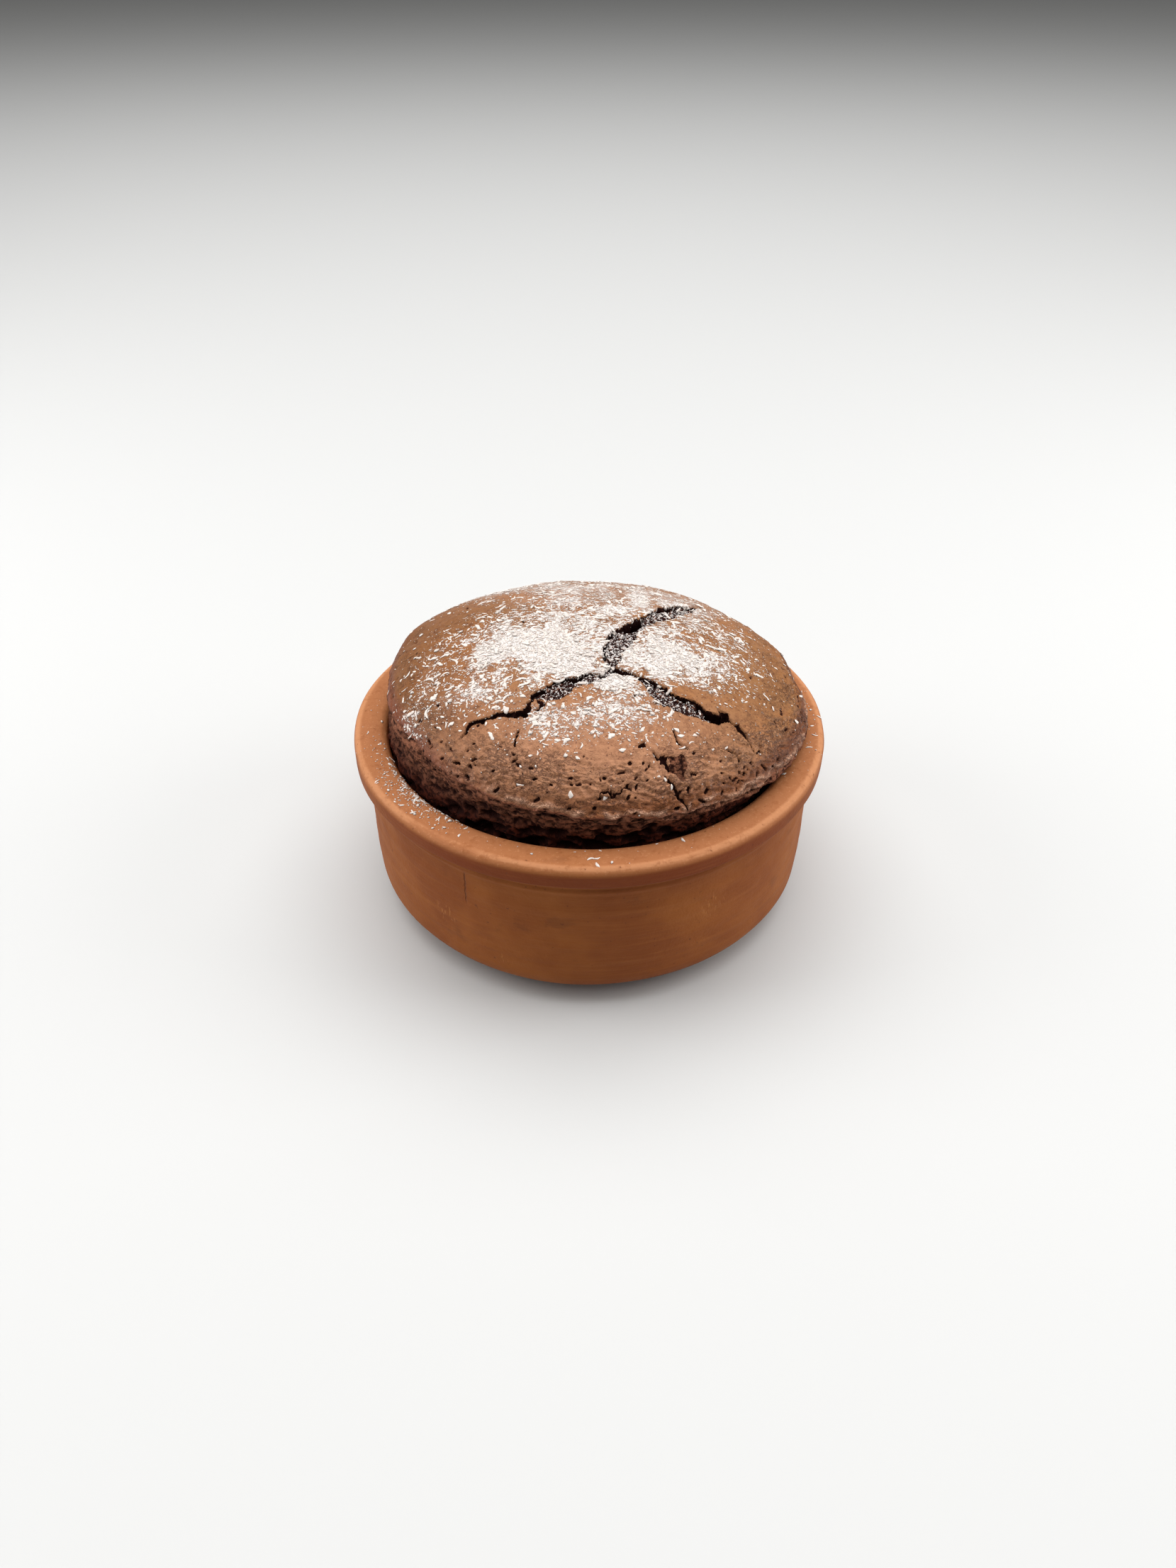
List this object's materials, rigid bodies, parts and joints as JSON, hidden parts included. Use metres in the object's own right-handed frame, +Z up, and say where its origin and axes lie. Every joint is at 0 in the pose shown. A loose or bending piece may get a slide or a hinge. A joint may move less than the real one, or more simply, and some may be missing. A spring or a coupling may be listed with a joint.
{
  "type": "chocolate souffle",
  "caption": "Risen chocolate souffle with a cracked, domed crust dusted with white flakes, standing out of the round terracotta oven dish it was baked in.",
  "frame": {"origin": "middle of the dish's flat base, on the surface it stands on", "axes": "+Z up; -Y is the front, the side the junction of the crust's cracks is nearest to; +X to the right seen from the front"},
  "size_m": [0.14, 0.14, 0.0847],
  "materials": {
    "terracotta": "unglazed fired clay, matt, with faint turning lines",
    "chocolate_crust": "dry baked chocolate skin over dark porous crumb"
  },
  "bodies": {
    "root": {"dish": "terracotta", "souffle": "chocolate_crust"}
  },
  "joints": []
}
